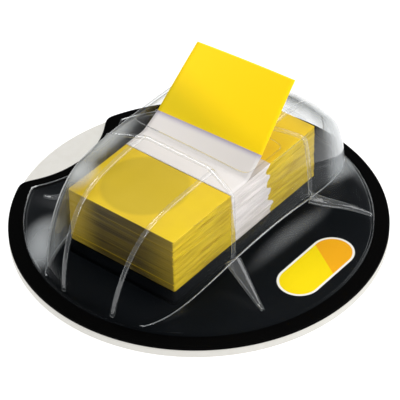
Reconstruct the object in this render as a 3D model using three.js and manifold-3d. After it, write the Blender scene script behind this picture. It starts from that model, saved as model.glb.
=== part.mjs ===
// Desk dispenser for sticky index tabs: a tacky grip pad, a black tray with a scalloped
// edge, a block of index tabs, the tab that pops up next, and a clear vacuum-formed cover.
// Millimetres. X runs across the tabs, Y along them and Z up. The origin is the centre of
// the underside. The scallop in the tray's edge is on the -X side.

import * as THREE from 'three';
import { LoftGeometry } from 'three/addons/geometries/LoftGeometry.js';
import { mergeVertices } from 'three/addons/utils/BufferGeometryUtils.js';
import Module from 'manifold-3d';

const wasm = await Module();
wasm.setup();

// Grip pad and tray
const DISC_RADIUS = 37;
const GRIP_THICKNESS = 1.8;
const GRIP_EDGE_ROUND = 0.4;
const TRAY_THICKNESS = 0.8;
const SCALLOP_RADIUS = 19.9;
const SCALLOP_DEPTH = 7.1;
const SCALLOP_CORNER = 1.2;
const PLATFORM_HEIGHT = 2.9;
const PLATFORM_INSET = 0.6;
const PLATFORM_DRAFT = 1.0;
const DISC_SEGMENTS = 96;

// Block of tabs
const TAB_WIDTH = 25.4;
const TAB_LENGTH = 43.7;
const BLOCK_HEIGHT = 12.1;
const COLOUR_END = 15.5;
const BAND_SWELL = 0.15;
const STACK_X = -0.6;
const STACK_Y = -0.5;

// Tab that pops up
const FILM = 0.2;
const TAB_START = -5.8;
const RISE_START = 0.5;
const RISE_LENGTH_LEFT = 4.3;
const RISE_LENGTH_RIGHT = 5.6;
const RISE_ANGLE_LEFT = 27;
const RISE_ANGLE_RIGHT = 38;
const LEAN_LEFT = 34.5;
const LEAN_RIGHT = 48.4;
const TIP_CURL = 3;
const TIP_STEPS = 6;
const FILM_COLUMNS = 6;

// Clear cover
const WALL = 0.5;
const MARGIN = 3;
const RIM_HEIGHT = 0.9;
const NOSE_SETBACK = 0.5;
const CREASE_HALF_WIDTH = 16.4;
const CREASE_TAPER = 0.12;
const CREASE_SQUARENESS = 5.2;
const CREASE_HEIGHT = 3.9;
const SHOULDER_HALF_WIDTH = 15.1;
const SHOULDER_FRONT = 21.1;
const SHOULDER_REAR = 19.3;
const SHOULDER_SQUARENESS = 7;
const TOP_CLEARANCE = 4.6;
const TOP_FALL_LENGTHWISE = 0.75;
const TOP_FALL_ACROSS = 0.5;
const SHOULDER_ROUND = 0.6;
const FRONT_FULLNESS = 0.57;
const REAR_FULLNESS = 0.91;
const CORNER_FULLNESS = 0.35;
const CORNER_NARROWNESS = 2.6;
const FULLEST = 0.95;
const FULLNESS_BLEND = 15;
const WINDOW_HALF_WIDTH = 13.9;
const WINDOW_FRONT = -2.6;
const WINDOW_REAR = 9.2;
const WINDOW_SQUARENESS = 10;
const RIM_SPREAD = 0.9;
const SKIRT_HOLLOW = 2.4;
const LOBE_RISE = 1.1;
const LOBE_BLEND = 6;
const LOBE_FULLNESS = 0.8;
const LOBE_END_MARGIN = 3;
const RIB_WIDTH = 1.0;
const RIB_RISE = 0.35;
const RIB_ROOT = 0.3;
const NOSE_RIB_TOP_X = 8.4;
const NOSE_RIB_FOOT_X = 5.9;
const NOSE_RIB_BOW = 2;
const NOSE_RIB_FOOT_LEVEL = 1.99;
const RIB_MIDDLE_Y = 2.7;
const CROSS_RIB_REACH = 8.2;
const CROSS_RIB_STRAIGHT = 7.5;
const SHOULDER_RIB_REACH = 11;
const CREASE_RIB_REACH = 12.3;
const GUSSET_FOOT_REACH = 17.3;
const GUSSET_FOOT_X = 27;
const GUSSET_ROOT = 1.2;
const GUSSET_TOP_SCALE = 1.2;
const GUSSET_FOOT_SCALE = 0.8;
const COLUMNS = 80;
const TOP_ROWS = 3;
const WALL_ROWS = 9;
const SKIRT_ROWS = 4;
const SLIVER = 0.012;

// Heights and half sizes that follow from the driving sizes
const TRAY_TOP = GRIP_THICKNESS + TRAY_THICKNESS;
const BLOCK_FLOOR = TRAY_TOP + PLATFORM_HEIGHT;
const BLOCK_TOP = BLOCK_FLOOR + BLOCK_HEIGHT;
const COVER_RADIUS = DISC_RADIUS - MARGIN;
const SCALLOP_CENTRE = -(DISC_RADIUS - SCALLOP_DEPTH + SCALLOP_RADIUS);
const COVER_TOP = BLOCK_TOP + TOP_CLEARANCE;
const RIM_TOP = TRAY_TOP + RIM_HEIGHT;
const NOSE_FOOT_RADIUS = COVER_RADIUS - NOSE_SETBACK;
const LOBE_END = COVER_RADIUS - LOBE_END_MARGIN;

const degrees = Math.PI / 180;
const clamp01 = (value) => Math.min(1, Math.max(0, value));
const smooth = (value) => clamp01(value) ** 2 * (3 - 2 * clamp01(value));
const mix = (a, b, share) => a + (b - a) * share;

// Closed solids and their joins
function toSolid(geometry) {
  const bare = new THREE.BufferGeometry().copy(geometry);
  bare.deleteAttribute('normal');
  bare.deleteAttribute('uv');
  const merged = mergeVertices(bare, 1e-4);
  const mesh = new wasm.Mesh({
    numProp: 3,
    vertProperties: new Float32Array(merged.attributes.position.array),
    triVerts: new Uint32Array(merged.index.array),
  });
  mesh.merge();
  return new wasm.Manifold(mesh);
}

function toGeometry(solid) {
  const mesh = solid.getMesh();
  const geometry = new THREE.BufferGeometry();
  geometry.setAttribute('position', new THREE.BufferAttribute(new Float32Array(mesh.vertProperties), 3));
  geometry.setIndex(new THREE.BufferAttribute(new Uint32Array(mesh.triVerts), 1));
  geometry.computeVertexNormals();
  return geometry;
}

// Solid through a row of sections, whichever way round their points run
function loftSolid(sections) {
  const middle = (section) => section.reduce((sum, point) => sum.add(point), new THREE.Vector3())
    .divideScalar(section.length);
  const [first, second] = sections;
  const centre = middle(first);
  const facing = new THREE.Vector3();
  first.forEach((point, index) => {
    const next = first[(index + 1) % first.length];
    facing.add(point.clone().sub(centre).cross(next.clone().sub(centre)));
  });
  const ordered = facing.dot(middle(second).sub(centre)) > 0
    ? sections
    : sections.map((section) => section.slice().reverse());
  return toSolid(new LoftGeometry(ordered, { capStart: true, capEnd: true }));
}

// Distance from the centre to a scalloped circle, along a polar angle
function scallopedRadius(angle, radius, scallopRadius) {
  const along = Math.cos(angle) * SCALLOP_CENTRE;
  const across = Math.sin(angle) * SCALLOP_CENTRE;
  const inside = scallopRadius ** 2 - across ** 2;
  if (along <= 0 || inside <= 0) {
    return radius;
  }
  return Math.min(radius, along - Math.sqrt(inside));
}

// Grip pad: a turned disc with softened edges
function makeGripPad() {
  const round = GRIP_EDGE_ROUND;
  const profile = [
    new THREE.Vector2(0, 0),
    new THREE.Vector2(DISC_RADIUS - round, 0),
    new THREE.Vector2(DISC_RADIUS, round),
    new THREE.Vector2(DISC_RADIUS, GRIP_THICKNESS - round),
    new THREE.Vector2(DISC_RADIUS - round, GRIP_THICKNESS),
    new THREE.Vector2(0, GRIP_THICKNESS),
  ];
  const geometry = new THREE.LatheGeometry(profile, DISC_SEGMENTS);
  geometry.rotateX(Math.PI / 2);
  return toGeometry(toSolid(geometry));
}

// Outline of the tray: a circle with a shallow round bite, its two corners rounded
function trayOutline() {
  const centre = -SCALLOP_CENTRE;
  const small = SCALLOP_CORNER;
  const outer = DISC_RADIUS - small;
  const inner = SCALLOP_RADIUS + small;
  const cornerX = (centre ** 2 + outer ** 2 - inner ** 2) / (2 * centre);
  const cornerY = Math.sqrt(outer ** 2 - cornerX ** 2);
  const outerAngle = Math.atan2(cornerY, -cornerX);
  const innerAngle = Math.atan2(cornerY, centre - cornerX);
  const arc = (x, y, radius, from, to, clockwise, steps) => (
    new THREE.EllipseCurve(x, y, radius, radius, from, to, clockwise).getPoints(steps).slice(0, -1)
  );
  return new THREE.Shape([
    ...arc(0, 0, DISC_RADIUS, -outerAngle, outerAngle, false, DISC_SEGMENTS),
    ...arc(-cornerX, cornerY, small, outerAngle, Math.PI + innerAngle, false, 4),
    ...arc(SCALLOP_CENTRE, 0, SCALLOP_RADIUS, innerAngle, -innerAngle, true, 16),
    ...arc(-cornerX, -cornerY, small, Math.PI - innerAngle, Math.PI * 2 - outerAngle, false, 4),
  ]);
}

function rectangleRing(halfX, halfY, z) {
  return [
    new THREE.Vector3(-halfX, -halfY, z),
    new THREE.Vector3(halfX, -halfY, z),
    new THREE.Vector3(halfX, halfY, z),
    new THREE.Vector3(-halfX, halfY, z),
  ];
}

// Tray: the scalloped sheet with the low platform that the tabs stand on
function makeTray() {
  const sheet = new THREE.ExtrudeGeometry(trayOutline(), {
    depth: TRAY_THICKNESS,
    bevelEnabled: false,
  });
  sheet.translate(0, 0, GRIP_THICKNESS);
  const topX = TAB_WIDTH / 2 - PLATFORM_INSET;
  const topY = TAB_LENGTH / 2 - PLATFORM_INSET;
  const platform = loftSolid([
    rectangleRing(topX + PLATFORM_DRAFT, topY + PLATFORM_DRAFT, TRAY_TOP - TRAY_THICKNESS / 2),
    rectangleRing(topX, topY, BLOCK_FLOOR),
  ]);
  return toGeometry(toSolid(sheet).add(platform.translate([STACK_X, STACK_Y, 0])));
}

// Block of tabs: coloured ends and, between them, the band where the clear films swell a little
function makeBlock() {
  const half = TAB_LENGTH / 2;
  const stations = [-half, -half + COLOUR_END, 0, half - COLOUR_END, half];
  const swell = [0, BAND_SWELL / 2, BAND_SWELL, BAND_SWELL / 2, 0];
  const sections = stations.map((y, index) => {
    const x = TAB_WIDTH / 2 + swell[index];
    return [
      new THREE.Vector3(-x, y, BLOCK_FLOOR),
      new THREE.Vector3(-x, y, BLOCK_TOP),
      new THREE.Vector3(x, y, BLOCK_TOP),
      new THREE.Vector3(x, y, BLOCK_FLOOR),
    ];
  });
  return toGeometry(loftSolid(sections).translate([STACK_X, STACK_Y, 0]));
}

// Path of one long edge of the pop-up tab in the YZ plane, share 0 on the left and 1 on the right
function tabPath(share) {
  const rise = mix(RISE_ANGLE_LEFT, RISE_ANGLE_RIGHT, share);
  const lean = mix(LEAN_LEFT, LEAN_RIGHT, share);
  const riseLength = mix(RISE_LENGTH_LEFT, RISE_LENGTH_RIGHT, share);
  const stations = [{ y: TAB_START, z: BLOCK_TOP, angle: 0 }];
  let y = RISE_START;
  let z = BLOCK_TOP;
  stations.push({ y, z, angle: rise / 2 });
  y += riseLength * Math.cos(rise * degrees);
  z += riseLength * Math.sin(rise * degrees);
  stations.push({ y, z, angle: (rise + lean) / 2 });
  for (let step = 1; step <= TIP_STEPS; step += 1) {
    const angle = lean + TIP_CURL * (0.5 - step / TIP_STEPS);
    y += COLOUR_END / TIP_STEPS * Math.cos(angle * degrees);
    z += COLOUR_END / TIP_STEPS * Math.sin(angle * degrees);
    stations.push({ y, z, angle });
  }
  return stations;
}

// Pop-up tab: one film, flat on the block, then rising through the window and leaning back
function makePopupTab() {
  const paths = [];
  for (let column = 0; column <= FILM_COLUMNS; column += 1) {
    paths.push(tabPath(column / FILM_COLUMNS));
  }
  const sections = paths[0].map((_, station) => {
    const lower = [];
    const upper = [];
    paths.forEach((path, column) => {
      const { y, z, angle } = path[station];
      const point = new THREE.Vector3(TAB_WIDTH * (column / FILM_COLUMNS - 0.5), y, z);
      const across = new THREE.Vector3(0, -Math.sin(angle * degrees), Math.cos(angle * degrees));
      lower.push(point);
      upper.unshift(point.clone().addScaledVector(across, FILM));
    });
    return [...lower, ...upper];
  });
  return toGeometry(loftSolid(sections).translate([STACK_X, STACK_Y, 0]));
}

// A rounded rectangle as a superellipse, evenly spaced along its sides as t goes round
function superellipse(t, halfX, halfY, power) {
  const c = Math.cos(t);
  const s = Math.sin(t);
  const reach = (Math.abs(c) ** power + Math.abs(s) ** power) ** (-1 / power);
  return new THREE.Vector2(halfX * c * reach, halfY * s * reach);
}

// Height of the cover's crowned top over a point
function topHeight(x, y) {
  const lengthwise = TOP_FALL_LENGTHWISE * (y / SHOULDER_FRONT) ** 2;
  const across = TOP_FALL_ACROSS * Math.abs(x / SHOULDER_HALF_WIDTH) ** 3;
  return COVER_TOP - lengthwise - across;
}

// The window's outline, in the top
function windowOutline(t) {
  const middle = (WINDOW_FRONT + WINDOW_REAR) / 2;
  const halfLength = (WINDOW_REAR - WINDOW_FRONT) / 2;
  const point = superellipse(t, WINDOW_HALF_WIDTH, halfLength, WINDOW_SQUARENESS);
  point.y += middle;
  return point;
}

// The shoulder, where the top turns down into the walls
function shoulderOutline(t) {
  const length = Math.sin(t) < 0 ? SHOULDER_FRONT : SHOULDER_REAR;
  return superellipse(t, SHOULDER_HALF_WIDTH, length, SHOULDER_SQUARENESS);
}

// The crease round the foot of the walls: leaf-shaped along the sides, on the margin at the ends
function creaseOutline(t) {
  const point = superellipse(t, CREASE_HALF_WIDTH, COVER_RADIUS, CREASE_SQUARENESS);
  point.x *= 1 - CREASE_TAPER * Math.abs(point.y / COVER_RADIUS) ** 1.5;
  if (point.length() > NOSE_FOOT_RADIUS) {
    point.setLength(NOSE_FOOT_RADIUS);
  }
  return point;
}

function creaseHeight(point) {
  const along = clamp01(Math.abs(point.y) / (COVER_RADIUS - 2));
  return RIM_TOP + CREASE_HEIGHT * Math.cos(along * Math.PI / 2) ** 2;
}

// The rim, an even margin inside the tray's outline
function rimOutline(t) {
  const crease = creaseOutline(t);
  const spread = 1 + RIM_SPREAD * Math.sqrt(clamp01(1 - Math.abs(crease.y) / LOBE_END));
  const angle = Math.atan2(crease.y, crease.x * spread);
  const radius = scallopedRadius(angle, COVER_RADIUS, SCALLOP_RADIUS + MARGIN);
  return new THREE.Vector2(radius * Math.cos(angle), radius * Math.sin(angle));
}

// How far a point lies in one of the four raised corner lobes of the skirt
function lobeShare(point) {
  const y = Math.abs(point.y);
  return smooth((y - CREASE_RIB_REACH) / LOBE_BLEND) * smooth((LOBE_END - y) / LOBE_BLEND);
}

// How far the walls bulge: more at the rear nose than at the front, and most at the corners
function wallFullness(t, y) {
  const nose = mix(FRONT_FULLNESS, REAR_FULLNESS, smooth(0.5 + y / (2 * FULLNESS_BLEND)));
  const corner = CORNER_FULLNESS * Math.abs(Math.sin(2 * t)) ** CORNER_NARROWNESS;
  return Math.min(FULLEST, nose + corner);
}

// Outer surface: level 0 to 1 is the top, 1 to 2 the walls and 2 to 3 the skirt
function coverPoint(t, level) {
  const shoulder = shoulderOutline(t);
  const shoulderZ = topHeight(shoulder.x, shoulder.y) - SHOULDER_ROUND;
  if (level <= 1) {
    const window = windowOutline(t);
    const x = mix(window.x, shoulder.x, level);
    const y = mix(window.y, shoulder.y, level);
    return new THREE.Vector3(x, y, topHeight(x, y) - SHOULDER_ROUND * level ** 6);
  }
  const crease = creaseOutline(t);
  const creaseZ = creaseHeight(crease);
  if (level <= 2) {
    const share = level - 1;
    const fullness = wallFullness(t, shoulder.y);
    const out = mix(share, Math.sin(share * Math.PI / 2), fullness);
    const down = mix(1 - share, Math.cos(share * Math.PI / 2), fullness);
    const x = mix(shoulder.x, crease.x, out);
    const y = mix(shoulder.y, crease.y, out);
    return new THREE.Vector3(x, y, mix(creaseZ, shoulderZ, down));
  }
  const rim = rimOutline(t);
  const share = level - 2;
  const x = mix(crease.x, rim.x, share);
  const y = mix(crease.y, rim.y, share);
  const fillet = (1 - share) ** SKIRT_HOLLOW;
  const lobe = LOBE_RISE * lobeShare(new THREE.Vector2(x, y)) * Math.sin(share * Math.PI) ** LOBE_FULLNESS;
  return new THREE.Vector3(x, y, mix(RIM_TOP, creaseZ, fillet) + lobe);
}

// Outward normal of the surface, from two small steps on it
function coverNormal(t, level) {
  const step = 0.01;
  const low = Math.max(0, level - step);
  const high = Math.min(3, level + step);
  const down = coverPoint(t, high).sub(coverPoint(t, low));
  const round = coverPoint(t + step, level).sub(coverPoint(t - step, level));
  const normal = down.cross(round).normalize();
  return normal.z < 0 ? normal.negate() : normal;
}

function coverLevels() {
  const levels = [];
  const add = (from, rows) => {
    for (let row = 0; row < rows; row += 1) {
      levels.push(from + row / rows);
    }
  };
  add(0, TOP_ROWS);
  add(1, WALL_ROWS);
  add(2, SKIRT_ROWS);
  levels.push(3);
  return levels;
}

// Clear cover: a formed sheet of even wall, open below and at the window
function makeCoverShell() {
  const angles = Array.from({ length: COLUMNS }, (_, column) => -(column + 0.5) / COLUMNS * Math.PI * 2);
  const levels = coverLevels();
  const outer = levels.map((level) => angles.map((t) => coverPoint(t, level)));
  const inner = levels.map((level) => angles.map((t) => {
    const point = coverPoint(t, level);
    return point.addScaledVector(coverNormal(t, level), -WALL);
  }));
  const foot = angles.map((t) => coverPoint(t, 3).setZ(TRAY_TOP));
  const innerFoot = angles.map((t) => {
    const point = coverPoint(t, 3).setZ(0);
    return point.setLength(point.length() - WALL).setZ(TRAY_TOP);
  });
  inner.pop();
  const innerEdge = innerFoot.map((point) => point.clone().setZ(RIM_TOP - WALL));
  const sections = [...outer, foot, innerFoot, innerEdge, ...inner.reverse(), outer[0]];
  return toSolid(new LoftGeometry(sections));
}

// Value at which a rising function first passes a target, by halving
function solveRising(low, high, target, valueAt) {
  let [from, to] = [low, high];
  for (let step = 0; step < 40; step += 1) {
    const middle = (from + to) / 2;
    if (valueAt(middle) < target) {
      from = middle;
    } else {
      to = middle;
    }
  }
  return (from + to) / 2;
}

// Place on one end of the cover with a given x; the end is -1 in front and 1 at the rear
function placeAtX(level, x, end) {
  const t = -end * solveRising(-Math.PI, 0, x, (angle) => coverPoint(angle, level).x);
  return { point: coverPoint(t, level), normal: coverNormal(t, level) };
}

// Place on the +X side of the cover with a given y

function placeAtY(level, y) {
  const t = solveRising(-Math.PI / 2, Math.PI / 2, y, (angle) => coverPoint(angle, level).y);
  return { point: coverPoint(t, level), normal: coverNormal(t, level) };
}

// The same place on the -X side
function mirrored({ point, normal, scale }) {
  const flip = new THREE.Vector3(-1, 1, 1);
  return { point: point.clone().multiply(flip), normal: normal.clone().multiply(flip), scale };
}

// A half-round bead along a row of places, its root sunk into the wall
function makeBead(places, depth) {
  const sections = places.map(({ point, normal, scale = 1 }, index) => {
    const before = places[Math.max(0, index - 1)].point;
    const after = places[Math.min(places.length - 1, index + 1)].point;
    const along = after.clone().sub(before).normalize();
    const side = along.clone().cross(normal).normalize();
    const half = RIB_WIDTH * scale / 2;
    const root = [[-1, -depth], [1, -depth]];
    const crest = [0, 1, 2, 3, 4].map((step) => {
      const turn = step / 4 * Math.PI;
      return [Math.cos(turn), RIB_RISE * Math.sin(turn)];
    });
    return [...root, ...crest].map(([across, up]) => (
      point.clone().addScaledVector(side, across * half).addScaledVector(normal, up)
    ));
  });
  return loftSolid(sections);
}

// A rib from the cross rib down the nose, closing a little towards the foot
function noseRibPlaces(side, end) {
  const steps = 14;
  const [windowY, shoulderY] = end < 0 ? [WINDOW_FRONT, -SHOULDER_FRONT] : [WINDOW_REAR, SHOULDER_REAR];
  const top = (RIB_MIDDLE_Y + end * CROSS_RIB_REACH - windowY) / (shoulderY - windowY);
  return Array.from({ length: steps + 1 }, (_, step) => {
    const share = step / steps;
    const x = mix(NOSE_RIB_TOP_X, NOSE_RIB_FOOT_X, share ** NOSE_RIB_BOW);
    return placeAtX(mix(top, NOSE_RIB_FOOT_LEVEL, share), side * x, end);
  });
}

// The rib over the top at one end of the window, down both walls to the crease
function crossRibPlaces(end) {
  const wallSteps = 7;
  const topSteps = 12;
  const wall = Array.from({ length: wallSteps + 1 }, (_, step) => {
    const share = step / wallSteps;
    const reach = mix(SHOULDER_RIB_REACH, CREASE_RIB_REACH, share);
    return placeAtY(mix(1, 2, share), RIB_MIDDLE_Y + end * reach);
  });
  const edge = wall[0].point.x;
  const top = Array.from({ length: topSteps - 1 }, (_, step) => {
    const x = mix(-edge, edge, (step + 1) / topSteps);
    const turn = clamp01((Math.abs(x) - CROSS_RIB_STRAIGHT) / (edge - CROSS_RIB_STRAIGHT));
    const y = RIB_MIDDLE_Y + end * mix(CROSS_RIB_REACH, SHOULDER_RIB_REACH, turn);
    const drop = SHOULDER_ROUND * Math.abs(x / SHOULDER_HALF_WIDTH) ** 6;
    return { point: new THREE.Vector3(x, y, topHeight(x, y) - drop), normal: new THREE.Vector3(0, 0, 1) };
  });
  const left = wall.map(mirrored).reverse();
  return [...left, ...top, ...wall];
}

// The gusset that goes on from that rib, from the crease straight down over the skirt
function gussetPlaces(end) {
  const steps = 6;
  const top = placeAtY(2, RIB_MIDDLE_Y + end * CREASE_RIB_REACH).point;
  return Array.from({ length: steps + 1 }, (_, step) => {
    const share = step / steps;
    const x = mix(top.x, GUSSET_FOOT_X, share);
    const y = RIB_MIDDLE_Y + end * mix(CREASE_RIB_REACH, GUSSET_FOOT_REACH, share);
    const level = solveRising(2, 3, x, (value) => placeAtY(value, y).point.x);
    const z = Math.max(placeAtY(level, y).point.z, mix(top.z, RIM_TOP, share));
    return {
      point: new THREE.Vector3(x, y, z),
      normal: new THREE.Vector3(0, 0, 1),
      scale: mix(GUSSET_TOP_SCALE, GUSSET_FOOT_SCALE, share),
    };
  });
}

// The largest separate piece of a solid, without the specks that joins can leave
function largestPiece(solid) {
  return solid.decompose().reduce((best, piece) => (piece.volume() > best.volume() ? piece : best));
}

// Everything of a solid that stands above the tray
function aboveTray(solid) {
  const height = COVER_TOP * 2;
  const room = new THREE.BoxGeometry(DISC_RADIUS * 2, DISC_RADIUS * 2, height);
  room.translate(0, 0, TRAY_TOP + height / 2);
  return solid.intersect(toSolid(room));
}

// The shell with its ribs, front and rear, left and right
function makeCover() {
  const ribs = [];
  [-1, 1].forEach((end) => {
    const gusset = gussetPlaces(end);
    ribs.push(makeBead(noseRibPlaces(-1, end), RIB_ROOT));
    ribs.push(makeBead(noseRibPlaces(1, end), RIB_ROOT));
    ribs.push(makeBead(crossRibPlaces(end), RIB_ROOT));
    ribs.push(makeBead(gusset, GUSSET_ROOT));
    ribs.push(makeBead(gusset.map(mirrored), GUSSET_ROOT));
  });
  const solid = ribs.reduce((joined, rib) => joined.add(aboveTray(rib)), makeCoverShell());
  return toGeometry(largestPiece(solid.simplify(SLIVER)));
}

const finishes = {
  grip: new THREE.MeshStandardMaterial({ color: 0xf2f0eb, roughness: 0.75, metalness: 0 }),
  black: new THREE.MeshStandardMaterial({ color: 0x050505, roughness: 0.5, metalness: 0 }),
  tabs: new THREE.MeshStandardMaterial({ color: 0xdcbe28, roughness: 0.6, metalness: 0 }),
  film: new THREE.MeshStandardMaterial({ color: 0xffe41e, roughness: 0.5, metalness: 0 }),
  clear: new THREE.MeshStandardMaterial({
    color: 0xe8eef0,
    roughness: 0.05,
    metalness: 0,
    transparent: true,
    opacity: 0.3,
  }),
};

function addPiece(group, name, geometry, material) {
  const mesh = new THREE.Mesh(geometry, material);
  mesh.name = name;
  group.add(mesh);
}

const dispenser = new THREE.Group();
addPiece(dispenser, 'grip_pad', makeGripPad(), finishes.grip);
addPiece(dispenser, 'base_tray', makeTray(), finishes.black);
addPiece(dispenser, 'tab_block', makeBlock(), finishes.tabs);
addPiece(dispenser, 'popup_tab', makePopupTab(), finishes.film);
addPiece(dispenser, 'clear_cover', makeCover(), finishes.clear);

export default dispenser;
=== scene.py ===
import bpy
import numpy as np
from mathutils import Matrix, Vector


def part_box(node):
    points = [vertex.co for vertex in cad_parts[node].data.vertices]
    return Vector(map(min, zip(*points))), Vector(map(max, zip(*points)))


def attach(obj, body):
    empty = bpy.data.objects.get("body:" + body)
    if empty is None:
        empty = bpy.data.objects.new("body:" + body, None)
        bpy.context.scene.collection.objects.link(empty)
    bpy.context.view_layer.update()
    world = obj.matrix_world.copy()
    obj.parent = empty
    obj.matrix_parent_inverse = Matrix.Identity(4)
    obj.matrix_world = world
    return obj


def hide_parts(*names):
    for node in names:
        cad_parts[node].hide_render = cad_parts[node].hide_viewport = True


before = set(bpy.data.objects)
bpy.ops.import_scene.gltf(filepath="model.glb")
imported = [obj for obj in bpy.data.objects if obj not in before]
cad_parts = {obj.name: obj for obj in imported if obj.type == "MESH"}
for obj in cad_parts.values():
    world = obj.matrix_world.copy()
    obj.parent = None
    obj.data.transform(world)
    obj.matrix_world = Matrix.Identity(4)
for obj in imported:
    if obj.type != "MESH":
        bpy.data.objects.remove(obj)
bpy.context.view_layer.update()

# A desk dispenser for sticky index tabs, seen a little from above on a white sweep.
# Shapes are worked out in millimetres, in the part's own frame: X across the tabs, Y along
# them, Z up from the desk, origin in the middle of the underside.
scene = bpy.context.scene

# The view. The camera stands half a metre off with a long lens, a little over forty degrees
# up and to the right of the tabs' length, and the object sits slightly low in the picture.
PICTURE = 400
FOCAL_PIXELS = 2568
VIEW_AZIMUTH = np.radians(39.6)
VIEW_ELEVATION = np.radians(40.4)
VIEW_ROLL = np.radians(-1.3)
VIEW_DISTANCE = 0.5
ORIGIN_PIXELS = (-1.1, 27.7)
SENSOR = 36

back = np.array([np.sin(VIEW_AZIMUTH) * np.cos(VIEW_ELEVATION),
                 -np.cos(VIEW_AZIMUTH) * np.cos(VIEW_ELEVATION),
                 np.sin(VIEW_ELEVATION)])
right = np.array([np.cos(VIEW_AZIMUTH), np.sin(VIEW_AZIMUTH), 0])
upward = np.cross(back, right)
rolled_right = np.cos(VIEW_ROLL) * right + np.sin(VIEW_ROLL) * upward
rolled_up = np.cos(VIEW_ROLL) * upward - np.sin(VIEW_ROLL) * right
camera_data = bpy.data.cameras.new("camera")
camera_data.sensor_width = SENSOR
camera_data.lens = SENSOR * FOCAL_PIXELS / PICTURE
camera_data.shift_x = -ORIGIN_PIXELS[0] / PICTURE
camera_data.shift_y = ORIGIN_PIXELS[1] / PICTURE
camera_data.clip_start = 0.01
camera_data.dof.use_dof = False
camera = bpy.data.objects.new("camera", camera_data)
camera.matrix_world = Matrix.Translation(Vector(back * VIEW_DISTANCE)) @ Matrix(
    np.column_stack([rolled_right, rolled_up, back]).tolist()).to_4x4()
scene.collection.objects.link(camera)
scene.camera = camera
scene.view_settings.view_transform = "Standard"

# Grip pad: a disc of soft cream-white gel rubber with a slightly rounded edge. It is die cut
# and its tacky underside holds the dispenser on the desk.
MM = 0.001
PAD_ROUND = 0.45
PAD_ROUND_STEPS = 7
PAD_COLUMNS = 256
PAD_RINGS = 11
POLE_RADIUS = 0.5
CREAM = (131, 129, 124)
CREAM_SHADE = (124, 121, 114)
CREAM_PAINTED_GLOW = (243, 241, 235)
CREAM_PAINTED_GLOW_STRENGTH = 0.58
GEL_SUBSURFACE = 0.15
GEL_GRAIN_DEPTH = 0.00003


def corners_mm(node):
    """Lowest and highest corner of a solid, in millimetres."""
    low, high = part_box(node)
    return np.array(low) / MM, np.array(high) / MM


def turned(profile, columns):
    """Carries a profile of radius and height round the Z axis."""
    turn = np.arange(columns) / columns * 2 * np.pi
    radius, height = np.asarray(profile).T
    return np.stack([radius[:, None] * np.cos(turn), radius[:, None] * np.sin(turn),
                     np.broadcast_to(height[:, None], (len(radius), columns))], axis=-1)


def strip_faces(rows, columns, closed=False, first=0):
    """Corner numbers of the four-sided faces between neighbouring rows, each row a closed ring."""
    row = np.arange(rows if closed else rows - 1)[:, None]
    column = np.arange(columns)[None, :]
    next_row = (row + 1) % rows
    next_column = (column + 1) % columns
    corners = np.stack([row * columns + column, row * columns + next_column,
                        next_row * columns + next_column, next_row * columns + column], axis=-1)
    return corners.reshape(-1, 4) + first


def solid_faces(rows, columns, first=0):
    """Faces of a solid built of rings: the strips between them and a lid on each end ring."""
    last = first + (rows - 1) * columns
    lids = [list(range(first, first + columns))[::-1], list(range(last, last + columns))]
    return strip_faces(rows, columns, first=first).tolist() + lids


pad_low, pad_high = corners_mm("grip_pad")
DISC_RADIUS = (pad_high[0] - pad_low[0]) / 2
PAD_TOP = pad_high[2]
edge_turn = np.linspace(-np.pi / 2, 0, PAD_ROUND_STEPS)
lower_edge = np.column_stack([DISC_RADIUS - PAD_ROUND + PAD_ROUND * np.cos(edge_turn),
                              PAD_ROUND + PAD_ROUND * np.sin(edge_turn)])
upper_edge = np.column_stack([lower_edge[::-1, 0], PAD_TOP - lower_edge[::-1, 1]])
flat_radii = np.linspace(POLE_RADIUS, DISC_RADIUS - PAD_ROUND, PAD_RINGS + 1)[:-1]
underside = np.column_stack([flat_radii, np.zeros(PAD_RINGS)])
upper_side = np.column_stack([flat_radii[::-1], np.full(PAD_RINGS, PAD_TOP)])
pad_rows = turned(np.vstack([underside, lower_edge, upper_edge, upper_side]), PAD_COLUMNS)


class Field:
    """A shader socket on which ordinary arithmetic adds Math nodes."""

    def __init__(self, tree, socket):
        self.tree = tree
        self.socket = socket

    def node(self, kind, settings, inputs, output=0):
        """Adds a node: its settings first, then the values or links of its sockets."""
        made = self.tree.nodes.new(kind)
        for name, value in settings.items():
            setattr(made, name, value)
        for name, value in inputs.items():
            if isinstance(value, Field):
                self.tree.links.new(value.socket, made.inputs[name])
            else:
                made.inputs[name].default_value = value
        return Field(self.tree, made.outputs[output])

    def math(self, operation, *others):
        return self.node("ShaderNodeMath", {"operation": operation}, dict(enumerate([self, *others])))

    def __add__(self, other):
        return self.math("ADD", other)

    def __radd__(self, other):
        return self.math("ADD", other)

    def __sub__(self, other):
        return self.math("SUBTRACT", other)

    def __rsub__(self, other):
        return self.node("ShaderNodeMath", {"operation": "SUBTRACT"}, {0: other, 1: self})

    def __mul__(self, other):
        return self.math("MULTIPLY", other)

    def __rmul__(self, other):
        return self.math("MULTIPLY", other)

    def __truediv__(self, other):
        return self.math("DIVIDE", other)

    def __neg__(self):
        return self.math("MULTIPLY", -1.0)

    def ramp(self, low, high):
        """0 at low, 1 at high and a soft step between, also where high is the smaller one."""
        settings = {"interpolation_type": "SMOOTHSTEP"}
        return self.node("ShaderNodeMapRange", settings, {"Value": self, "From Min": low, "From Max": high})

    def above(self, edge, softness):
        """1 where this is past the edge and 0 before it."""
        return self.ramp(edge - softness, edge + softness)

    def below(self, edge, softness):
        """1 where this is short of the edge and 0 past it."""
        return self.ramp(edge + softness, edge - softness)

    def blend(self, low, high):
        """The colour low where this is 0 and high where it is 1."""
        inputs = {0: self, 6: colour(low), 7: colour(high)}
        return self.node("ShaderNodeMix", {"data_type": "RGBA"}, inputs, 2)


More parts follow.
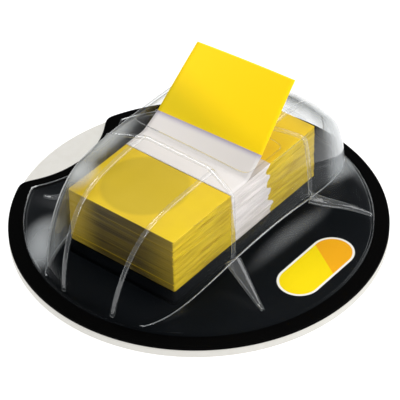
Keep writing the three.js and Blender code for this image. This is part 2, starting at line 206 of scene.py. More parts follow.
def colour(value):
    """A colour given as screen values from 0 to 255, turned into the linear values of light."""
    if isinstance(value, Field):
        return value
    share = np.array(value, float) / 255
    linear = np.where(share <= 0.04045, share / 12.92, ((share + 0.055) / 1.055) ** 2.4)
    return [*linear.tolist(), 1.0]


def new_material(name):
    """A material with one Principled shader: the material, its shader and a Field to build on."""
    material = bpy.data.materials.new(name)
    material.use_nodes = True
    shader = material.node_tree.nodes["Principled BSDF"]
    places = material.node_tree.nodes.new("ShaderNodeTexCoord")
    return material, shader, Field(material.node_tree, places.outputs["Object"])


def in_mm(place):
    """A place on the piece, in millimetres."""
    return place.node("ShaderNodeVectorMath", {"operation": "SCALE"}, {0: place, "Scale": 1 / MM})


def axis(place, number):
    """The X, Y or Z of a place: axis 0, 1 or 2."""
    return place.node("ShaderNodeSeparateXYZ", {}, {0: place}, number)


def length(across, along):
    """The length of two sides at right angles, as their squares' sum under a root."""
    return (across * across + along * along).math("SQRT")


def noise(place, scale, detail=3.0, stretch=(1, 1, 1)):
    """Soft noise from 0 to 1, its grain one over the scale in size and drawn out by the stretch."""
    stretched = place.node("ShaderNodeVectorMath", {"operation": "MULTIPLY"}, {0: place, 1: stretch})
    inputs = {"Vector": stretched, "Scale": scale, "Detail": detail}
    return place.node("ShaderNodeTexNoise", {}, inputs)


def connect(field, shader, socket):
    field.tree.links.new(field.socket, shader.inputs[socket])


def bump(shader, height, depth):
    """Feeds a height field to the shader's normal; depth in metres."""
    made = height.node("ShaderNodeBump", {}, {"Height": height, "Distance": depth, "Strength": 1.0})
    connect(made, shader, "Normal")


def new_piece(name, points, faces, material, replaced=(), smooth=True):
    """Puts points in millimetres and lists of corner numbers into a mesh that rides on the part."""
    mesh = bpy.data.meshes.new(name)
    mesh.from_pydata((np.asarray(points).reshape(-1, 3) * MM).tolist(), [], faces)
    mesh.polygons.foreach_set("use_smooth", np.ones(len(mesh.polygons), bool) & smooth)
    mesh.materials.append(material)
    mesh.update()
    mesh.validate()
    piece = bpy.data.objects.new(name, mesh)
    scene.collection.objects.link(piece)
    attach(piece, "root")
    if replaced:
        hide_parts(*replaced)
    return piece


gel, gel_shader, gel_place = new_material("cream_gel_rubber")
gel_mm = in_mm(gel_place)
gel_mottle = noise(gel_mm, 0.6)
connect(gel_mottle.ramp(0.3, 0.7).blend(CREAM_SHADE, CREAM), gel_shader, "Base Color")
connect(0.55 + 0.2 * gel_mottle, gel_shader, "Roughness")
# Painted light: the gel glows with a constant cream emission, as if lit, though it is no lamp.
gel_shader.inputs["Emission Color"].default_value = colour(CREAM_PAINTED_GLOW)
gel_shader.inputs["Emission Strength"].default_value = CREAM_PAINTED_GLOW_STRENGTH
gel_shader.inputs["Subsurface Weight"].default_value = GEL_SUBSURFACE
gel_shader.inputs["Subsurface Radius"].default_value = (0.002, 0.0018, 0.0015)
bump(gel_shader, noise(gel_mm, 4.0), GEL_GRAIN_DEPTH)
new_piece("grip_disc", pad_rows, solid_faces(*pad_rows.shape[:2]), gel, ["grip_pad"])

# Tray: a black sheet with a shallow round bite in its left edge, through which the pad shows,
# and a low step that the tabs stand on. The margin is matt, and a plain yellow lozenge is
# printed on the right, under the cover's skirt.
TRAY_THICKNESS = 0.8
TRAY_ROUND = 0.15
TRAY_ROUND_STEPS = 4
TRAY_FLAT_INSETS = [20.0, 10.0, 4.0, 1.0]
TRAY_COLUMNS = 720
SCALLOP_RADIUS = 19.9
SCALLOP_CENTRE = 49.8
SCALLOP_SOFTENING = 14
MARGIN = 3.0
STEP_CORNER = 1.0
BLACK = (1, 1, 1)
BLACK_SATIN = (13, 16, 19)
BOARD_SPECULAR = 0.03
BOARD_GRAIN_DEPTH = 0.00003
LOZENGE_MIDDLE = (26.6, 2.4)
LOZENGE_HALF = (4.3, 9.5)
LOZENGE_EDGE = 0.45
LOZENGE_AMBER_FROM = 5.0
LOZENGE_AMBER_SLOPE = 0.6
LOZENGE_WHITE = (245, 243, 235)
LOZENGE_YELLOW = (250, 222, 20)
LOZENGE_AMBER = (246, 176, 30)


def bitten_radius(turn, radius, bite):
    """Distance from the middle to a circle with a round bite on the left, along an angle."""
    along = -np.cos(turn) * SCALLOP_CENTRE
    across = np.sin(turn) * SCALLOP_CENTRE
    inside = np.maximum(bite ** 2 - across ** 2, 0)
    cut = np.where((along > 0) & (bite ** 2 > across ** 2), along - np.sqrt(inside), radius)
    return np.minimum(radius, cut)


def softened(radius, passes):
    """Rounds the corners of a closed outline by averaging neighbours a few times."""
    for _ in range(passes):
        radius = (np.roll(radius, 1) + 2 * radius + np.roll(radius, -1)) / 4
    return radius


def rounded_rectangle(half_x, half_y, radius, steps=5):
    """Corner arcs of a rectangle, anticlockwise."""
    quarter = np.linspace(0, np.pi / 2, steps)
    arcs = []
    for index, (sign_x, sign_y) in enumerate([(1, 1), (-1, 1), (-1, -1), (1, -1)]):
        turn = quarter + index * np.pi / 2
        arcs.append(np.column_stack([sign_x * (half_x - radius) + radius * np.cos(turn),
                                     sign_y * (half_y - radius) + radius * np.sin(turn)]))
    return np.vstack(arcs)


_, tray_high = corners_mm("base_tray")
block_low, block_high = corners_mm("tab_block")
block_middle = (block_low + block_high) / 2
block_half = (block_high - block_low) / 2
TRAY_TOP = PAD_TOP + TRAY_THICKNESS
STEP_TOP = tray_high[2]
tray_turn = np.arange(TRAY_COLUMNS) / TRAY_COLUMNS * 2 * np.pi
tray_outline = softened(bitten_radius(tray_turn, DISC_RADIUS, SCALLOP_RADIUS), SCALLOP_SOFTENING)
edge_share = np.linspace(0, 1, TRAY_ROUND_STEPS)
edge_inset = TRAY_ROUND * (1 - np.sin(edge_share * np.pi / 2))
edge_rise = TRAY_ROUND * edge_share ** 2
tray_insets = np.concatenate([TRAY_FLAT_INSETS, edge_inset, edge_inset[::-1], TRAY_FLAT_INSETS[::-1]])
flat_count = len(TRAY_FLAT_INSETS)
tray_heights = np.concatenate([np.full(flat_count, PAD_TOP), PAD_TOP + edge_rise,
                               TRAY_TOP - edge_rise[::-1], np.full(flat_count, TRAY_TOP)])
tray_radii = np.maximum(tray_outline[None, :] - tray_insets[:, None], POLE_RADIUS)
tray_rows = np.stack([tray_radii * np.cos(tray_turn), tray_radii * np.sin(tray_turn),
                      np.broadcast_to(tray_heights[:, None], tray_radii.shape)], axis=-1)

# How far each ring of the step stands outside the block, and its height.
STEP_PROFILE = [(0.4, TRAY_TOP - 0.2), (0.2, TRAY_TOP + 1.0), (-0.6, STEP_TOP - 0.3), (-0.9, STEP_TOP)]
step_rows = []
for grow, height in STEP_PROFILE:
    ring = rounded_rectangle(block_half[0] + grow, block_half[1] + grow, STEP_CORNER) + block_middle[:2]
    step_rows.append(np.column_stack([ring, np.full(len(ring), height)]))
step_rows = np.array(step_rows)
tray_faces = solid_faces(*tray_rows.shape[:2])
tray_faces += solid_faces(*step_rows.shape[:2], first=tray_rows.shape[0] * tray_rows.shape[1])

board, board_shader, board_place = new_material("black_board")
board_mm = in_mm(board_place)
board_x, board_y = axis(board_mm, 0), axis(board_mm, 1)
inner_field = (length(board_x, board_y).below(DISC_RADIUS - MARGIN, 0.1)
               * length(board_x + SCALLOP_CENTRE, board_y).above(SCALLOP_RADIUS + MARGIN, 0.1))
board_grain = noise(board_mm, 1.5)
board_colour = inner_field.blend(BLACK, BLACK_SATIN)

lozenge_x = (board_x - LOZENGE_MIDDLE[0]).math("ABSOLUTE")
lozenge_y = (board_y - LOZENGE_MIDDLE[1]).math("ABSOLUTE") - (LOZENGE_HALF[1] - LOZENGE_HALF[0])
lozenge_depth = LOZENGE_HALF[0] - length(lozenge_x, lozenge_y.math("MAXIMUM", 0.0))
amber_edge = board_y - LOZENGE_AMBER_FROM + LOZENGE_AMBER_SLOPE * (board_x - LOZENGE_MIDDLE[0])
lozenge_fill = amber_edge.above(0, 0.1).blend(LOZENGE_YELLOW, LOZENGE_AMBER)
lozenge_colour = lozenge_depth.above(LOZENGE_EDGE, 0.05).blend(LOZENGE_WHITE, lozenge_fill)
connect(lozenge_depth.above(0, 0.05).blend(board_colour, lozenge_colour), board_shader, "Base Color")
connect(0.7 - 0.25 * inner_field + 0.08 * board_grain, board_shader, "Roughness")
board_shader.inputs["Specular IOR Level"].default_value = BOARD_SPECULAR
bump(board_shader, noise(board_mm, 0.35, 2.0), BOARD_GRAIN_DEPTH)
new_piece("tray_sheet", np.vstack([tray_rows.reshape(-1, 3), step_rows.reshape(-1, 3)]),
          tray_faces, board, ["base_tray"])

# Block of tabs: several dozen thin film tabs, laid alternately so that their coloured ends
# lie at both ends of the block and their clear matt parts cross in the middle as a pale band.
LAYERS = 44
LAYER_GAP = 0.035
LAYER_BEVEL = 0.05
LAYER_SHIFT = (0.045, 0.05)
LAYER_WAVE = (0.01, 0.05)
LAYER_WAVE_PER_MM = 0.35
SHEET_INSET = (0.12, 0.1)
SHEET_CORNER = 0.4
SHEET_CORNER_STEPS = 4
SHEET_STEPS = 34
SHEET_END = 0.6
BAND_FRONT = -5.0
BAND_REAR = 6.0
BAND_SLANT = 0.11
BAND_UNEVEN = 0.12
BAND_RAGGED = 2.6
RIPPLE = 0.24
RIPPLE_PER_MM = (0.2, 1.9)
PAINTED_SHADOW_MIDDLE = (-2.5, -12.6)
PAINTED_SHADOW_RADIUS = 8.6
TAB_YELLOW = (236, 202, 20)
TAB_YELLOW_DEEP = (224, 188, 20)
TAB_PAINTED_SHADOW = (206, 176, 18)
SIDE_YELLOW = (228, 198, 30)
SIDE_DEEP = (190, 160, 14)
END_PAINTED_SHADE = (104, 86, 16)
END_PAINTED_SHADE_DEEP = (62, 51, 10)
END_PAINTED_LIGHT = (216, 184, 48)
END_PAINTED_LIGHT_LEFT = (0.8, 5.0, 12.5)
END_PAINTED_LIGHT_RIGHT = (0.4, 3.0, 13.0)
FILM_WHITE = (213, 207, 204)
FILM_SHADE = (205, 199, 197)
FILM_SIDE = (246, 240, 238)
STACK_GRAIN_DEPTH = 0.00002


def sheet_outline(half_x, half_y, radius):
    """A rectangle with small round corners and evenly spaced points along its long sides."""
    ring = rounded_rectangle(half_x, half_y, radius, SHEET_CORNER_STEPS)
    arcs = ring.reshape(4, SHEET_CORNER_STEPS, 2)
    along = np.linspace(-1, 1, SHEET_STEPS)[1:-1] * (half_y - radius)
    right_side = np.column_stack([np.full(len(along), half_x), along])
    return np.vstack([arcs[0], arcs[1], -right_side, arcs[2], arcs[3], right_side])


sheet_ring = sheet_outline(*(block_half[:2] - SHEET_INSET), SHEET_CORNER)
ring_side, ring_y = np.sign(sheet_ring[:, 0]), sheet_ring[:, 1]
ring_end = np.sign(ring_y) * (np.abs(ring_y) > block_half[1] - SHEET_END)
layer_height = (block_high[2] - block_low[2]) / LAYERS
layer_floor = block_low[2] + layer_height * np.arange(LAYERS)
rng = np.random.default_rng(7)
offset_x = rng.normal(0, LAYER_SHIFT[0], LAYERS)
offset_y = rng.normal(0, LAYER_SHIFT[1], LAYERS)
wave_phase = rng.uniform(0, 2 * np.pi, LAYERS)
wave_size = rng.uniform(*LAYER_WAVE, LAYERS)
wave = wave_size[:, None] * np.sin(ring_y * LAYER_WAVE_PER_MM + wave_phase[:, None]) * ring_side
layer_x = sheet_ring[:, 0] + offset_x[:, None] + wave
layer_y = ring_y + offset_y[:, None]
layer_x = np.clip(layer_x, -block_half[0], block_half[0]) + block_middle[0]
layer_y = np.clip(layer_y, -block_half[1], block_half[1]) + block_middle[1]
layer_profile = [(LAYER_BEVEL, 0), (0, LAYER_GAP),
                 (0, layer_height - LAYER_GAP), (LAYER_BEVEL, layer_height)]
layer_rings = []
for pull, rise in layer_profile:
    heights = np.broadcast_to(layer_floor[:, None] + rise, layer_x.shape)
    layer_rings.append(np.stack([layer_x - pull * ring_side, layer_y - pull * ring_end, heights], axis=-1))
stack_points = np.stack(layer_rings, axis=1)
_, rings, ring_size, _ = stack_points.shape
stack_faces = [face for layer in range(LAYERS)
               for face in solid_faces(rings, ring_size, first=layer * rings * ring_size)]

stack, stack_shader, stack_place = new_material("stacked_film_tabs")
stack_mm = in_mm(stack_place)
stack_x, stack_y, stack_z = (axis(stack_mm, number) for number in range(3))
stack_depth = block_high[2] - stack_z
layer_streaks = noise(stack_mm, 1.0, 3.0, (0.07, 0.12, 1.2)).ramp(0.3, 0.75)
ripple = (RIPPLE_PER_MM[1] * stack_z + RIPPLE_PER_MM[0] * stack_x).math("SINE")
ragged = RIPPLE * ripple + noise(stack_mm, 0.55, 4.0, (0.2, 0.2, 1.0)) - 0.5
leaning_y = stack_y - BAND_SLANT * stack_depth
pale_band = ((leaning_y + BAND_UNEVEN * ragged).above(BAND_FRONT, 0.06)
             * (leaning_y + BAND_RAGGED * ragged).below(BAND_REAR, 0.08))
side_face = ((stack_x - block_middle[0]).math("ABSOLUTE").ramp(block_half[0] - 0.4, block_half[0] - 0.3)
             * stack_depth.ramp(0.03, 0.08))
# Painted shade: the front end face is coloured dark olive as if in shadow, and painted light brightens it
# towards its left and right edges.
shaded_front_end = (stack_y - (block_low[1] + 0.15)).ramp(0.1, 0.0)
end_painted_light = (END_PAINTED_LIGHT_LEFT[0] * (-stack_x).ramp(*END_PAINTED_LIGHT_LEFT[1:])
             + END_PAINTED_LIGHT_RIGHT[0] * stack_x.ramp(*END_PAINTED_LIGHT_RIGHT[1:]))
# Painted shadow: a soft round darker patch on the block's top, in front of the standing tab.
painted_shadow_patch = length(stack_x - PAINTED_SHADOW_MIDDLE[0], stack_y - PAINTED_SHADOW_MIDDLE[1]).below(PAINTED_SHADOW_RADIUS, 0.6)
yellow = layer_streaks.blend(TAB_YELLOW, TAB_YELLOW_DEEP)
yellow = (painted_shadow_patch * (stack_z - block_high[2]).ramp(-0.2, -0.1)).blend(yellow, TAB_PAINTED_SHADOW)
yellow = side_face.blend(yellow, layer_streaks.blend(SIDE_YELLOW, SIDE_DEEP))
yellow = shaded_front_end.blend(yellow, end_painted_light.blend(layer_streaks.blend(END_PAINTED_SHADE, END_PAINTED_SHADE_DEEP), END_PAINTED_LIGHT))
white = side_face.blend(layer_streaks.blend(FILM_WHITE, FILM_SHADE),
                        layer_streaks.blend(FILM_SIDE, FILM_WHITE))
connect(pale_band.blend(yellow, white), stack_shader, "Base Color")
connect(0.42 + 0.2 * layer_streaks, stack_shader, "Roughness")
bump(stack_shader, noise(stack_mm, 1.0, 3.0, (0.07, 0.1, 2.0)), STACK_GRAIN_DEPTH)
new_piece("tab_stack", stack_points, stack_faces, stack, ["tab_block"], smooth=False)

# The next tab: one film whose matt end lies on the block. It climbs through the window, and
# its yellow tip leans back, steeper at its right edge than at its left.
TAB_WIDTH = 25.4
TAB_THICKNESS = 0.12
TAB_TIP = 15.5
TAB_FLAT_FROM = -5.2
RISE_FROM = 0.0
RISE_LENGTH = (5.0, 5.6)
RISE_ANGLE = (27, 38)
LEAN_ANGLE = (36, 48.4)
TIP_CURL = 3
BEND_LENGTH = 1.6
TAB_ROWS = 90
TAB_COLUMNS = 30
FILM_MATT = (230, 225, 222)
FILM_PAINTED_SHADOW = (176, 168, 190)
FILM_PAINTED_SHADOW_FROM = -1.8
TIP_YELLOW = (250, 211, 8)
TIP_YELLOW_SHADED = (213, 185, 8)
TIP_LIGHT_START = 0.15
TIP_LIGHT_RUN = 9.0
TIP_LIGHT_ACROSS = 30.0
TIP_PAINTED_GLOW_STRENGTH = 0.3
FILM_SPECULAR = 0.25
FILM_GRAIN_DEPTH = 0.00002


def between(pair, share):
    """The first value of a pair at share 0, the second at share 1."""
    return pair[0] + (pair[1] - pair[0]) * share


def soft_step(value):
    """0 up to 0, 1 from 1 on, and three squares less two cubes between."""
    value = np.clip(value, 0, 1)
    return value * value * (3 - 2 * value)


# The film is a sheet of lengthwise runs: each column's slope is the rise's and then the tip's,
# and the slope summed along the run gives its places.
tab_low, tab_high = corners_mm("popup_tab")
across_share = np.linspace(0, 1, TAB_COLUMNS + 1)
flat_length = RISE_FROM - TAB_FLAT_FROM
tip_from = flat_length + between(RISE_LENGTH, across_share)
run = np.linspace(0, 1, TAB_ROWS)[:, None] * (tip_from + TAB_TIP)[None, :]
tip_run = run - tip_from
to_rise = soft_step((run - flat_length) / BEND_LENGTH + 0.5)
to_tip = soft_step(tip_run / BEND_LENGTH + 0.5)
curl = TIP_CURL * (0.5 - np.clip(tip_run / TAB_TIP, 0, 1))
angle = np.radians(to_rise * between(RISE_ANGLE, across_share) * (1 - to_tip)
                   + to_tip * (between(LEAN_ANGLE, across_share) + curl))
stride = np.diff(run, axis=0)
stride_angle = (angle[1:] + angle[:-1]) / 2
start = np.zeros((1, TAB_COLUMNS + 1))
tab_y = TAB_FLAT_FROM + np.vstack([start, np.cumsum(stride * np.cos(stride_angle), axis=0)])
tab_z = block_high[2] + np.vstack([start, np.cumsum(stride * np.sin(stride_angle), axis=0)])
tab_x = np.broadcast_to(TAB_WIDTH * (across_share - 0.5) + (tab_low[0] + tab_high[0]) / 2, tab_y.shape)
film_under = np.stack([tab_x, tab_y, tab_z], axis=-1)
film_over = film_under + TAB_THICKNESS * np.stack([0 * angle, -np.sin(angle), np.cos(angle)], axis=-1)
tab_rows = np.concatenate([film_over, film_under[:, ::-1]], axis=1)
tab_ring = tab_rows.shape[1]
column = np.arange(TAB_COLUMNS)
cap = np.column_stack([column, column + 1, tab_ring - 2 - column, tab_ring - 1 - column])
tab_faces = strip_faces(TAB_ROWS, tab_ring).tolist() + cap[:, ::-1].tolist()
tab_faces += (cap + (TAB_ROWS - 1) * tab_ring).tolist()

film, film_shader, film_place = new_material("single_film_tab")
film_mm = in_mm(film_place)
film_grain = noise(film_mm, 0.25)
past_line = film_place.node("ShaderNodeAttribute", {"attribute_name": "tip_side"}, {}, 2)
# Painted shadow: the matt film turns lilac grey just below the yellow tip, as if shaded by it.
under_tip_shadow = past_line.ramp(FILM_PAINTED_SHADOW_FROM, 0.1)
matt_film_and_shadow = (under_tip_shadow * under_tip_shadow).blend(FILM_MATT, FILM_PAINTED_SHADOW)
# Painted light and shade: the yellow tip is painted darker towards its lower left and brighter towards its
# end and right edge, and it glows with its own yellow emission, though it is no lamp.
tip_light = past_line / TIP_LIGHT_RUN + axis(film_mm, 0) / TIP_LIGHT_ACROSS + TIP_LIGHT_START
tip_yellow = tip_light.ramp(0.0, 1.0).blend(TIP_YELLOW_SHADED, TIP_YELLOW)
tip_mask = past_line.above(0, 0.05)
connect(tip_mask.blend(matt_film_and_shadow, tip_yellow), film_shader, "Base Color")
connect(0.45 + 0.1 * film_grain, film_shader, "Roughness")
connect(tip_mask.blend((0, 0, 0), tip_yellow), film_shader, "Emission Color")
film_shader.inputs["Emission Strength"].default_value = TIP_PAINTED_GLOW_STRENGTH
film_shader.inputs["Specular IOR Level"].default_value = FILM_SPECULAR
bump(film_shader, film_grain, FILM_GRAIN_DEPTH)
popup = new_piece("standing_tab", tab_rows, tab_faces, film, ["popup_tab"])
tip_side = np.concatenate([tip_run, tip_run[:, ::-1]], axis=1).reshape(-1)
attribute = popup.data.attributes.new("tip_side", "FLOAT", "POINT")
attribute.data.foreach_set("value", tip_side.astype(np.float32))

# Cover: one clear sheet, vacuum formed to an even wall. The crowned top has the window, the
# ends fall as rounded noses to the margin, straight walls meet the skirt at a crease, and the
# skirt runs out to the rim with a raised lobe at each corner.
WALL = 0.5
RIM_HEIGHT = 0.9
FOOT_CLEARANCE = 0.04
NOSE_SETBACK = 0.5
CREASE_HALF_WIDTH = 16.4
CREASE_TAPER = 0.12
CREASE_SQUARENESS = 5.2
CREASE_HEIGHT = 3.9
CREASE_GAP = 0.014
CREASE_END_MARGIN = 2
SHOULDER_HALF_WIDTH = 15.1
SHOULDER_ENDS = (21.1, 19.3)
SHOULDER_SQUARENESS = 7
SHOULDER_ROUND = 0.6
TOP_CLEARANCE = 4.6
TOP_FALL = (0.5, 0.75)
NOSE_FULLNESS = (0.57, 0.91)
CORNER_FULLNESS = 0.35
CORNER_NARROWNESS = 2.6
FULLEST = 0.95
FULLNESS_BLEND = 15
WINDOW_HALF_WIDTH = 13.9
WINDOW_ENDS = (-2.6, 9.2)
WINDOW_SQUARENESS = 10
RIM_SPREAD = 0.9
SKIRT_HOLLOW = 2.4
LOBE_RISE = 1.1
LOBE_FROM = 12.3
LOBE_BLEND = 6
LOBE_FULLNESS = 0.8
LOBE_END_MARGIN = 3
COVER_COLUMNS = 360
TOP_STEPS, WALL_STEPS, SKIRT_STEPS = 11, 30, 22
COVER_TOP = block_high[2] + TOP_CLEARANCE
COVER_RADIUS = DISC_RADIUS - MARGIN
RIM_TOP = TRAY_TOP + RIM_HEIGHT
LOBE_END = COVER_RADIUS - LOBE_END_MARGIN


def superellipse(turn, half_x, half_y, power):
    """A rounded rectangle: where the powers of x / half_x and y / half_y add up to 1."""
    c, s = np.cos(turn), np.sin(turn)
    reach = (np.abs(c) ** power + np.abs(s) ** power) ** (-1 / power)
    return half_x * c * reach, half_y * s * reach


def top_height(x, y):
    """The crowned top: highest in the middle, falling with the square of Y and the cube of X."""
    across = TOP_FALL[0] * np.abs(x / SHOULDER_HALF_WIDTH) ** 3
    return COVER_TOP - across - TOP_FALL[1] * (y / SHOULDER_ENDS[0]) ** 2


def crease_place(turn):
    """The leaf-shaped foot of the walls: a rounded rectangle that narrows with Y to the power
    1.5 and is held inside the margin, and its height, a squared cosine of its share of Y."""
    x, y = superellipse(turn, CREASE_HALF_WIDTH, COVER_RADIUS, CREASE_SQUARENESS)
    x = x * (1 - CREASE_TAPER * np.abs(y / COVER_RADIUS) ** 1.5)
    held = np.minimum(1, (COVER_RADIUS - NOSE_SETBACK) / np.hypot(x, y))
    x, y = x * held, y * held
    along = np.clip(np.abs(y) / (COVER_RADIUS - CREASE_END_MARGIN), 0, 1)
    return x, y, RIM_TOP + CREASE_HEIGHT * np.cos(along * np.pi / 2) ** 2


def lobe_height(y, skirt):
    """A soft hump along each corner of the skirt, nothing at the crease and at the rim."""
    starts = soft_step((np.abs(y) - LOBE_FROM) / LOBE_BLEND)
    ends = soft_step((LOBE_END - np.abs(y)) / LOBE_BLEND)
    return LOBE_RISE * starts * ends * np.sin(skirt * np.pi) ** LOBE_FULLNESS


def cover_point(turn, level):
    """The outer face. Level 0 to 1 is the top, straight out from the window to the shoulder.
    Level 1 to 2 is the wall, down to the crease on a quarter arc that is blended with a straight
    line by its fullness. Level 2 to 3 is the skirt, whose height falls by a power to the rim."""
    turn, level = np.broadcast_arrays(turn, level)
    window_half_length = (WINDOW_ENDS[1] - WINDOW_ENDS[0]) / 2
    window_x, window_y = superellipse(turn, WINDOW_HALF_WIDTH, window_half_length, WINDOW_SQUARENESS)
    window_y = window_y + (WINDOW_ENDS[1] + WINDOW_ENDS[0]) / 2
    shoulder_x, shoulder_y = superellipse(turn, SHOULDER_HALF_WIDTH, 1, SHOULDER_SQUARENESS)
    shoulder_y = shoulder_y * np.where(shoulder_y < 0, *SHOULDER_ENDS)
    shoulder_z = top_height(shoulder_x, shoulder_y) - SHOULDER_ROUND
    crease_x, crease_y, crease_z = crease_place(turn)
    top = np.clip(level, 0, 1)
    top_x = between((window_x, shoulder_x), top)
    top_y = between((window_y, shoulder_y), top)
    top_z = top_height(top_x, top_y) - SHOULDER_ROUND * top ** 6
    fall = np.clip(level - 1, 0, 1)
    full = between(NOSE_FULLNESS, soft_step(0.5 + shoulder_y / (2 * FULLNESS_BLEND)))
    full = np.minimum(FULLEST, full + CORNER_FULLNESS * np.abs(np.sin(2 * turn)) ** CORNER_NARROWNESS)
    out = between((fall, np.sin(fall * np.pi / 2)), full)
    down = between((1 - fall, np.cos(fall * np.pi / 2)), full)
    wall_x = between((shoulder_x, crease_x), out)
    wall_y = between((shoulder_y, crease_y), out)
    wall_z = between((crease_z, shoulder_z), down)
    spread = 1 + RIM_SPREAD * np.sqrt(np.clip(1 - np.abs(crease_y) / LOBE_END, 0, 1))
    rim_turn = np.arctan2(crease_y, crease_x * spread)
    rim_radius = bitten_radius(rim_turn, COVER_RADIUS, SCALLOP_RADIUS + MARGIN)
    skirt = np.clip(level - 2, 0, 1)
    skirt_x = between((crease_x, rim_radius * np.cos(rim_turn)), skirt)
    skirt_y = between((crease_y, rim_radius * np.sin(rim_turn)), skirt)
    skirt_z = RIM_TOP + (crease_z - RIM_TOP) * (1 - skirt) ** SKIRT_HOLLOW + lobe_height(skirt_y, skirt)
    on_top, on_wall = level <= 1, level <= 2
    return np.stack([np.where(on_top, top_x, np.where(on_wall, wall_x, skirt_x)),
                     np.where(on_top, top_y, np.where(on_wall, wall_y, skirt_y)),
                     np.where(on_top, top_z, np.where(on_wall, wall_z, skirt_z))], axis=-1)


def cover_normal(turn, level):
    """Outward direction of the outer face, from two small steps on it."""
    small = 0.01
    down = cover_point(turn, np.minimum(level + small, 3)) - cover_point(turn, np.maximum(level - small, 0))
    across = cover_point(turn + small, level) - cover_point(turn - small, level)
    normal = np.cross(down, across)
    normal /= np.maximum(np.linalg.norm(normal, axis=-1, keepdims=True), 1e-9)
    return np.where(normal[..., 2:] < 0, -normal, normal)


def eased(start, end, count):
    """Levels that crowd together at both ends of a stretch, where the form turns sharply."""
    return start + (end - start) * (1 - np.cos(np.linspace(0, np.pi, count))) / 2


# The outer face, a foot that stands a hair above the tray, and the inner face back up.
cover_turn = (np.arange(COVER_COLUMNS) + 0.5) / COVER_COLUMNS * 2 * np.pi
cover_levels = np.concatenate([eased(0, 1, TOP_STEPS)[:-1], eased(1, 2 - CREASE_GAP, WALL_STEPS), [2],
                               np.linspace(2 + CREASE_GAP, 3, SKIRT_STEPS)])
outer = cover_point(cover_turn[None, :], cover_levels[:, None])
inner = outer - WALL * cover_normal(cover_turn[None, :], cover_levels[:, None])
foot = outer[-1] * [1, 1, 0] + [0, 0, TRAY_TOP + FOOT_CLEARANCE]
foot_length = np.linalg.norm(foot[:, :2], axis=1, keepdims=True)
inner_foot = foot.copy()
inner_foot[:, :2] *= (foot_length - WALL) / foot_length
inner_edge = inner_foot + [0, 0, RIM_HEIGHT - WALL - FOOT_CLEARANCE]
cover_rows = np.concatenate([outer, foot[None], inner_foot[None], inner_edge[None], inner[-2::-1]])
cover_faces = strip_faces(*cover_rows.shape[:2], closed=True)[:, ::-1].tolist()

# The clear sheet shows what lies behind it under a milky veil that thickens where it is seen
# edge-on, and it mirrors the studio only at a slant. Soft clouds of extra veil are painted
# reflections, placed where the formed sheet mirrors the lamps. Its pressed ribs and folds scatter
# more light than the flat sheet, and the folds' thicker veil is also a painted highlight.
CLEAR_TINT = (254, 254, 254)
CLEAR_DIM = (170, 176, 178)
VEIL_GREY = (208, 212, 214)
VEIL_EDGE_ON = 0.8
MIRROR_FROM = 0.3


def painted_reflection_cloud(x, y, middle, half, share):
    """A soft oval cloud of painted reflection: its share of veil in the middle, falling to nothing at its
    edge.
    """
    return share * length((x - middle[0]) / half[0], (y - middle[1]) / half[1]).ramp(1.0, 0.0)


def new_clear(name, edge_tint, mirror_face_on, veil_face_on, roughness, clouds=()):
    """A clear plastic. With the slant to the eye its dimming grows as the cube, its veil as the
    sixth power and, past MIRROR_FROM, its mirror as the cube; its inner face mirrors nothing."""
    material = bpy.data.materials.new(name)
    material.use_nodes = True
    tree = material.node_tree
    tree.nodes.clear()
    start = Field(tree, tree.nodes.new("ShaderNodeTexCoord").outputs["Object"])
    slant = start.node("ShaderNodeLayerWeight", {}, {"Blend": 0.5}, 1)
    inside = start.node("ShaderNodeNewGeometry", {}, {}, 6)
    steep = ((slant - MIRROR_FROM) / (1 - MIRROR_FROM)).math("MAXIMUM", 0.0).math("POWER", 3.0)
    mirror_share = (mirror_face_on + (1 - mirror_face_on) * steep) * (1 - inside)
    veil_share = veil_face_on + VEIL_EDGE_ON * slant.math("POWER", 6.0)
    place = in_mm(start)
    # Painted reflections: clouds of extra milky veil at given places on the sheet.
    for middle, half, share in clouds:
        veil_share = veil_share + painted_reflection_cloud(axis(place, 0), axis(place, 1), middle, half, share)
    sheer = start.node("ShaderNodeBsdfTransparent", {}, {"Color": colour(CLEAR_TINT)})
    milky = start.node("ShaderNodeBsdfDiffuse", {}, {"Color": colour(VEIL_GREY)})
    dim = start.node("ShaderNodeBsdfTransparent", {}, {"Color": colour(edge_tint)})
    passed = start.node("ShaderNodeMixShader", {}, {0: slant.math("POWER", 3.0), 1: sheer, 2: dim})
    veiled = start.node("ShaderNodeMixShader", {}, {0: veil_share, 1: passed, 2: milky})
    mirror = start.node("ShaderNodeBsdfGlossy", {}, {"Color": (1, 1, 1, 1), "Roughness": roughness})
    mixed = start.node("ShaderNodeMixShader", {}, {0: mirror_share, 1: veiled, 2: mirror})
    end = tree.nodes.new("ShaderNodeOutputMaterial")
    tree.links.new(mixed.socket, end.inputs["Surface"])
    return material


# Each painted reflection cloud's middle and half size in X and Y, and its share.
PAINTED_REFLECTION_CLOUDS = [
    ((-16.6, -27.2), (5.6, 5.8), 0.48),   # front left lobe of the skirt
    ((-19.6, -23.0), (4.6, 6.4), 0.34),   # the same lobe, further round
    ((19.2, 5.0), (2.2, 17.0), 0.07),     # streak beside the right crease
    ((-12.2, -20.0), (4.6, 4.8), 0.5),    # left corner of the front nose
    ((-14.0, -11.0), (3.4, 13.0), 0.36),  # left shoulder
    ((12.5, 27.0), (5.5, 7.5), 0.4),      # right corner of the rear nose
]
clear = new_clear("clear_formed_sheet", CLEAR_DIM, 0.0, 0.0, 0.08, PAINTED_REFLECTION_CLOUDS)

# The narrow strips at the rim and at the window's edge are shaded flat and stay crisp.
outer_count = len(cover_levels)
crisp = np.zeros(len(cover_rows), bool)
crisp[[outer_count - 1, outer_count, outer_count + 1, outer_count + 2, -1]] = True
new_piece("cover_shell", cover_rows, cover_faces, clear, ["clear_cover"],
          smooth=np.repeat(~crisp, COVER_COLUMNS))

